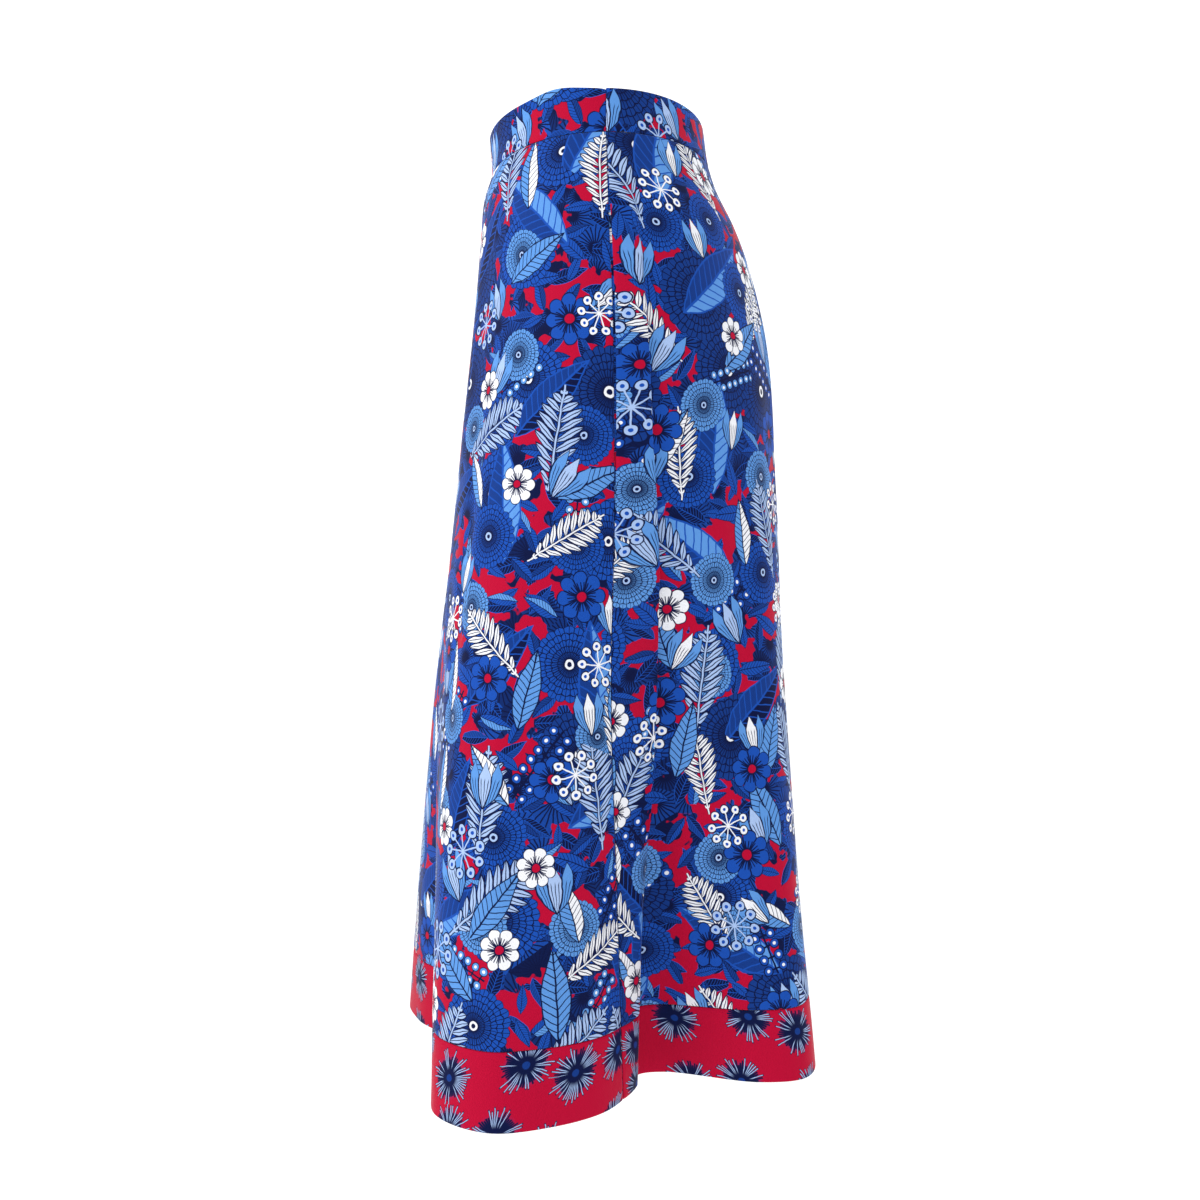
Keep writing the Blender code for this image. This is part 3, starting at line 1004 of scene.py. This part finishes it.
def makeAllowance(side):
    behind, ahead = ("front", "back") if side == "left" else ("back", "front")
    top, bottom = -waistSeam - allowance["belowTop"], hem + allowance["aboveHem"]
    levels = np.linspace(top, bottom, allowance["rows"])
    ditches = seamDitch(np.abs(levels - waistSeam)) + seamDitch(np.abs(levels - bandSeam))
    easing = allowance["easing"]
    onPanel = np.clip((waistSeam + easing - levels) / easing, 0, 1)
    onPanel = np.minimum(onPanel, np.clip((levels - bandSeam + easing) / easing, 0, 1))
    insets = waistband["cloth"] + onPanel * (panel["thick"] - waistband["cloth"]) + allowance["gap"]
    reach = allowance["reach"]
    away = np.array([*allowance["columns"], reach - allowance["overlock"], reach])
    halves = []
    for half, atEnd in ((behind, True), (ahead, False)):
        length = aroundAt(half, np.array([waistSeam]))[0]
        near = np.linspace(0, 1.5 * reach / length, 24)  # a little past the overlocked edge
        shares = 1 - near[::-1] if atEnd else near
        points, around = clothPoints(half, levels, shares, ditches, insets)
        wanted = away[None, :] / around[:, None]
        if atEnd:
            wanted = 1 - wanted[:, ::-1]
        placed = np.empty((len(levels), len(away), 3))
        for i in range(len(levels)):
            for k in range(3):
                placed[i, :, k] = np.interp(wanted[i], shares, points[i, :, k])
        halves.append(placed[:, :-1] if atEnd else placed)
    points = np.concatenate(halves, axis=1)
    mesh, row, column = gridMesh(f"seam allowance {side}", points)
    across = np.concatenate([-away[:0:-1], away])
    places = np.stack(np.broadcast_arrays(across[None, :], levels[:, None]), axis=2)
    layOnCut(mesh, row, column, places + allowance["printAt"])
    for face in mesh.polygons:  # the outermost column on each side is overlocked
        columns = [column[corner] for corner in face.vertices]
        if max(columns) == 1 or min(columns) == len(across) - 2:
            face.material_index = 1
    materials = [printedSateen, overlockThread]
    return finishCloth(mesh, f"seam_allowance_{side}", allowance["thick"], materials)


allowances = {side: makeAllowance(side) for side in ("left", "right")}
print("seam allowances made")

for side in ("front", "back"):
    band = makeWaistband(side)
    cloth = makePanel(side)
    border = makeHemBand(side)
    print(side, "panel, waistband and hem band made")
    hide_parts(f"waistband_{side}")
    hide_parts(f"panel_{side}")
    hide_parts(f"hem_band_{side}")
    levels = np.linspace(waistSeam, bandSeam, 50)
    panelArea = float(aroundAt(side, levels).mean() * (waistSeam - bandSeam))
    bandLength, clothWidth, borderLength = aroundAt(side, np.array([waistSeam, bandSeam, hem]))

# Pale floor below the hem, and soft even light all round
studio = {
    "floorZ": -1.15,
    "floorSize": 14.0,
    "paper": "#FDFDFD",
    "behind": 1.35,  # the world's strength behind the skirt, and before it
    "before": 0.6,
    "turning": (-0.2, 0.7),
    "lampsAim": (0.0, 0.0, -0.4),
}
bm = bmesh.new()
bmesh.ops.create_grid(bm, x_segments=1, y_segments=1, size=studio["floorSize"])
bmesh.ops.translate(bm, verts=bm.verts, vec=(0.0, 0.0, studio["floorZ"]))
floorMesh = bpy.data.meshes.new("floor")
bm.to_mesh(floorMesh)
bm.free()
floor = addObject("floor", floorMesh)
paper = bpy.data.materials.new("matt white paper")  # a studio backdrop, plain and dull
add = emptied(paper)
shader = add("BsdfPrincipled", {"Base Color": linearColour(studio["paper"]), "Roughness": 0.9})
add("OutputMaterial", [shader])
floorMesh.materials.append(paper)

world = bpy.data.worlds.new("white studio")  # bright behind the skirt, softer towards the camera
add = emptied(world)
direction = add("TexCoord", output="Generated")
facing = add("VectorMath DOT_PRODUCT", [direction, alongX], 1)
strengths = [*studio["turning"], studio["behind"], studio["before"]]
strength = add("MapRange", [facing, *strengths], **softStep)
glow = add("Background", [linearColour("#FFFFFF"), strength])
add("OutputWorld", [glow])
bpy.context.scene.world = world

# name, place, size, watts
lamps = [
    ("window", (1.5, -1.9, 1.2), 1.4, 30.0),
    ("bounce", (1.8, 1.6, 0.3), 1.6, 1.0),
]
for name, place, size, watts in lamps:
    lamp = bpy.data.lights.new(name, "AREA")
    lamp.energy = watts
    lamp.size = size
    light = addObject(name, lamp)
    light.location = place
    aim = Vector(studio["lampsAim"]) - Vector(place)
    light.rotation_euler = aim.to_track_quat("-Z", "Y").to_euler()

# The wearer's left side, square on and level
shot = {"place": (1.33, 0.00325, -0.4123), "lens": 42.42, "sensor": 36.0}
cameraData = bpy.data.cameras.new("camera")
cameraData.lens = shot["lens"]
cameraData.sensor_width = shot["sensor"]
camera = addObject("camera", cameraData)
camera.location = shot["place"]
camera.rotation_euler = (math.pi / 2, 0.0, math.pi / 2)
bpy.context.scene.camera = camera
bpy.context.scene.view_settings.view_transform = "Standard"

print("studio ready")
